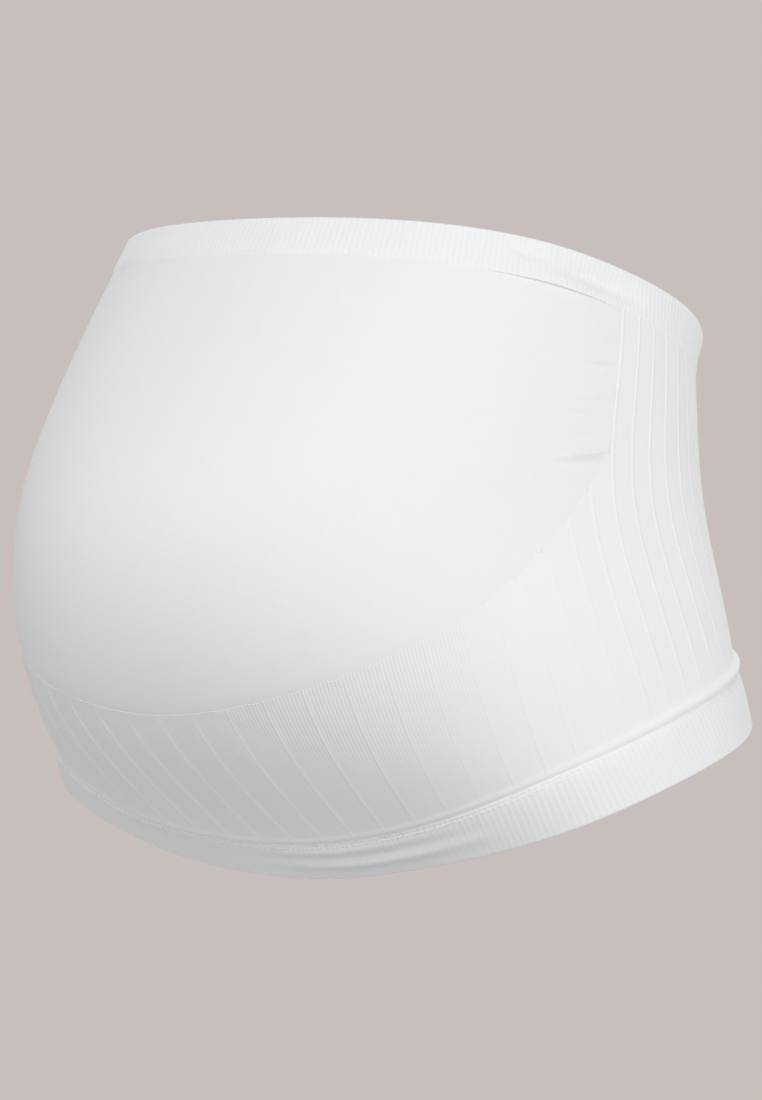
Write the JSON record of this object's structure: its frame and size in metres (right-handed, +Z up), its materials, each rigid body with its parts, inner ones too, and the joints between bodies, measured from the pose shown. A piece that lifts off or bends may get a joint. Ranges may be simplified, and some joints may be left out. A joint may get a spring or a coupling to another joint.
{
  "type": "maternity support belt",
  "caption": "Seamless knitted support band shown worn: folded waistband, smooth belly panel with a U-shaped lower edge, ribbed support panel and folded hem.",
  "frame": {"origin": "on the wearer's body axis, at the height of the waist, midway up the belt", "axes": "+X to the wearer's left, -Y to the wearer's front, over the belly, +Z up"},
  "size_m": [0.3657, 0.3079, 0.299],
  "materials": {
    "waistband": "white one-by-one rib knit, matt",
    "belly_panel": "white smooth stretched knit, soft satin",
    "support_panel": "white wide-ribbed knit, matt",
    "hem_band": "white one-by-one rib knit, matt"
  },
  "bodies": {
    "root": {"waistband": "waistband", "belly_panel": "belly_panel", "support_panel": "support_panel", "hem_band": "hem_band"}
  },
  "joints": []
}
